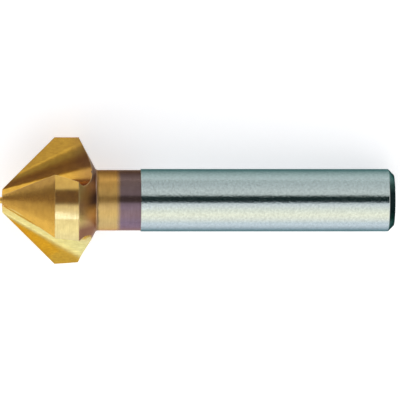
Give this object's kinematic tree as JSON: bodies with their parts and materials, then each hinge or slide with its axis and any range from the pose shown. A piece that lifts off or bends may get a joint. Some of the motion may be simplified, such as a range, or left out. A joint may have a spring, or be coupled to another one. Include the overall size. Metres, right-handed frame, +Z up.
{
  "type": "countersink bit",
  "caption": "Countersink bit: a fluted cone with cutting edges and a short neck, coated gold, on a plain round steel shank, lying on its side.",
  "frame": {"origin": "on the floor, under the middle of the bit's bounding box", "axes": "+X towards the shank's end, which is down, with the cutting point at -X and 4.4 degrees higher; +Z up from the floor that the bit lies on"},
  "size_m": [0.0632, 0.0202, 0.0191],
  "materials": {
    "tool_steel": "ground steel, bare on the shank, with a gold nitride coating on the head and neck"
  },
  "bodies": {
    "root": {"countersink_bit": "tool_steel"}
  },
  "joints": []
}
